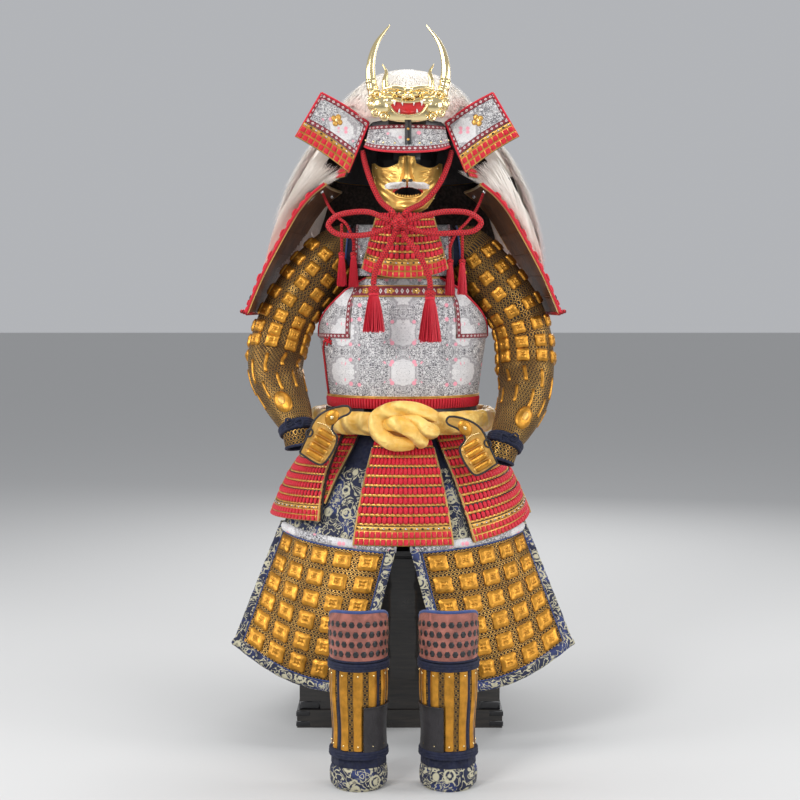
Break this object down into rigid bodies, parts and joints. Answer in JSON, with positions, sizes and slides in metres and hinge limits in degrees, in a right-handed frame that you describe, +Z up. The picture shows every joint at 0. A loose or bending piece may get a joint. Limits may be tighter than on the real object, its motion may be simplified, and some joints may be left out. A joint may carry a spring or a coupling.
{
  "type": "samurai armour on its chest stand",
  "caption": "Suit of laced samurai armour with horned crest, white hair mane, gold half mask, brocade cuirass, mail sleeves, thigh guard and shin guards, on a dark lacquered chest.",
  "frame": {"origin": "on the floor, below the post that carries the armour", "axes": "+Z up, the armour faces -Y, +X is the viewer’s right"},
  "size_m": [0.768, 0.8487, 1.6136],
  "materials": {
    "lacing": "braided silk lacing",
    "brocade": "patterned brocade",
    "gold": "satin gold",
    "dark_gold": "gold plates and mail on cloth",
    "bright_gold": "polished",
    "hair": "long white hair",
    "leather": "brown",
    "black_lacquer": "lacquered",
    "belt_cloth": "padded satin",
    "navy_cloth": "woven",
    "knee_leather": "punched",
    "chest_lacquer": "black lacquer",
    "stand_wood": "stained"
  },
  "bodies": {
    "root": {"chest_body": "chest_lacquer", "chest_lid": "chest_lacquer", "stand_post": "stand_wood", "stand_head": "stand_wood", "cuirass_front": "brocade", "cuirass_back": "brocade", "side_plate_left": "brocade", "side_plate_right": "brocade", "shoulder_strap_left": "leather", "shoulder_strap_right": "leather", "thigh_apron": "navy_cloth", "thigh_panel_left": "dark_gold", "thigh_panel_right": "dark_gold", "belt": "belt_cloth", "belt_knot": "belt_cloth", "helmet_bowl": "black_lacquer", "visor": "brocade", "neck_guard": "lacing", "turn_back_left": "brocade", "turn_back_right": "brocade", "mane": "hair", "crest": "bright_gold", "mask": "gold", "throat_guard": "lacing", "tasset_centre": "lacing", "tasset_front_left": "lacing", "tasset_side_left": "lacing", "tasset_front_right": "lacing", "tasset_side_right": "lacing", "tasset_back_left": "lacing", "tasset_back_right": "lacing", "sleeve_left": "dark_gold", "shoulder_guard_left": "leather", "shin_shell_left": "gold", "knee_pad_left": "knee_leather", "shin_patch_left": "leather", "shin_hem_left": "navy_cloth", "hand_guard_left": "gold", "chin_cord_left": "lacing", "bow_loop_left": "lacing", "cord_tail_left": "lacing", "tie_cord_left": "lacing", "tassel_large_left": "lacing", "tassel_left_a": "lacing", "tassel_left_b": "lacing", "sleeve_right": "dark_gold", "shoulder_guard_right": "leather", "shin_shell_right": "gold", "knee_pad_right": "knee_leather", "shin_patch_right": "leather", "shin_hem_right": "navy_cloth", "hand_guard_right": "gold", "chin_cord_right": "lacing", "bow_loop_right": "lacing", "cord_tail_right": "lacing", "tie_cord_right": "lacing", "tassel_large_right": "lacing", "tassel_right_a": "lacing", "tassel_right_b": "lacing", "bow_knot": "lacing"}
  },
  "joints": []
}
